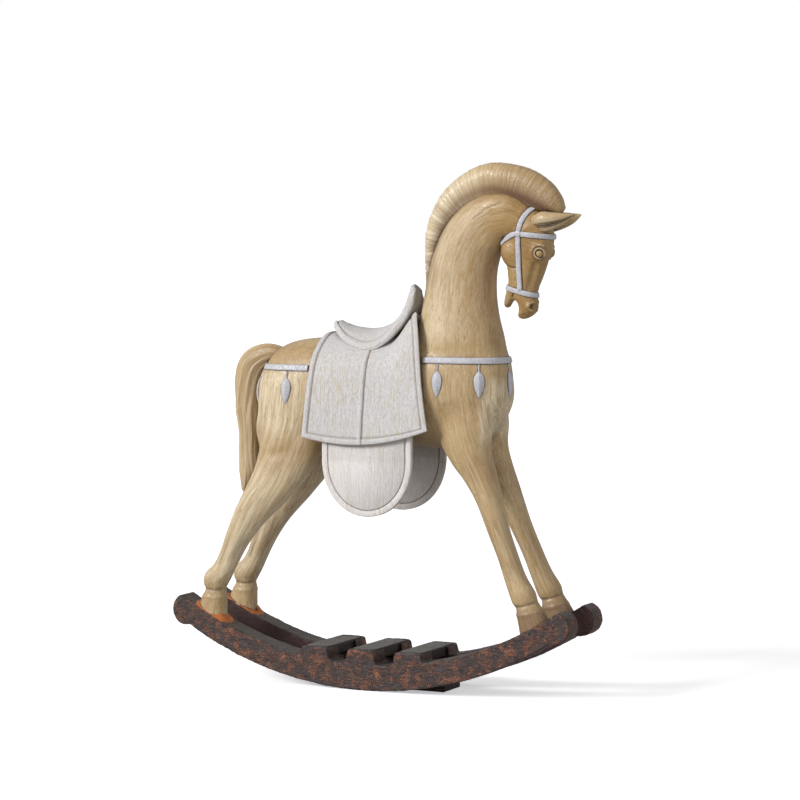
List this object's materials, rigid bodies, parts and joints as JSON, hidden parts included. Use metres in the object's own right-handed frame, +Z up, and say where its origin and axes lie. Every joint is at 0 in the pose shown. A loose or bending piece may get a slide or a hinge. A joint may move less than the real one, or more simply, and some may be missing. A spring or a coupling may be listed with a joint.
{
  "type": "rocking horse",
  "caption": "Carved wooden rocking horse with saddle, bridle and leaf-drop harness, on curved rockers joined by cross slats over a flat stand plate.",
  "frame": {"origin": "on the floor, on the bottom face of the stand plate, midway between the rockers and under the lowest point of their curve", "axes": "+X the way the horse faces, +Y its left side, +Z up"},
  "size_m": [0.3801, 0.081, 0.4506],
  "materials": {
    "horse_wood": "carved ochre wood with pale dry-brushed grain",
    "saddle_paint": "whitewashed carved wood, matte and grained",
    "strap_paint": "cool white matte paint on carved relief",
    "rocker_wood": "charcoal paint with rubbed copper speckle",
    "copper_paint": "bright copper-orange rubbed paint",
    "eye_paint": "polished golden varnish",
    "dowel_wood": "plain unfinished hardwood"
  },
  "bodies": {
    "root": {"neck_dowel_front": "dowel_wood", "neck_dowel_rear": "dowel_wood", "head_dowel": "dowel_wood", "tail_peg": "dowel_wood", "saddle_peg": "dowel_wood", "front_leg_dowel_right": "dowel_wood", "rear_leg_dowel_right": "dowel_wood", "front_hoof_dowel_right": "dowel_wood", "rear_hoof_dowel_right": "dowel_wood", "front_leg_dowel_left": "dowel_wood", "rear_leg_dowel_left": "dowel_wood", "front_hoof_dowel_left": "dowel_wood", "rear_hoof_dowel_left": "dowel_wood", "rocker_right": "rocker_wood", "rocker_left": "rocker_wood", "slat_rear": "rocker_wood", "slat_middle": "rocker_wood", "slat_front": "rocker_wood", "stand_plate": "rocker_wood", "trunk": "horse_wood", "neck": "horse_wood", "head": "horse_wood", "front_leg_right": "horse_wood", "rear_leg_right": "horse_wood", "hoof_pad_right": "copper_paint", "front_leg_left": "horse_wood", "rear_leg_left": "horse_wood", "hoof_pad_left": "copper_paint", "mane": "horse_wood", "tail": "horse_wood", "ear_right": "horse_wood", "eye_right": "eye_paint", "ear_left": "horse_wood", "eye_left": "eye_paint", "saddle_cloth": "saddle_paint", "saddle_seat": "saddle_paint", "skirt_flap_right": "saddle_paint", "skirt_flap_left": "saddle_paint", "breast_strap": "strap_paint", "breeching_strap": "strap_paint", "breast_leaf_centre": "strap_paint", "breast_leaf_front_right": "strap_paint", "breast_leaf_rear_right": "strap_paint", "rump_leaf_front_right": "strap_paint", "rump_leaf_rear_right": "strap_paint", "breast_leaf_front_left": "strap_paint", "breast_leaf_rear_left": "strap_paint", "rump_leaf_front_left": "strap_paint", "rump_leaf_rear_left": "strap_paint", "noseband": "strap_paint", "browband": "strap_paint", "cheek_strap_right": "strap_paint", "throat_lash_right": "strap_paint", "rosette_right": "strap_paint", "cheek_strap_left": "strap_paint", "throat_lash_left": "strap_paint", "rosette_left": "strap_paint"}
  },
  "joints": []
}
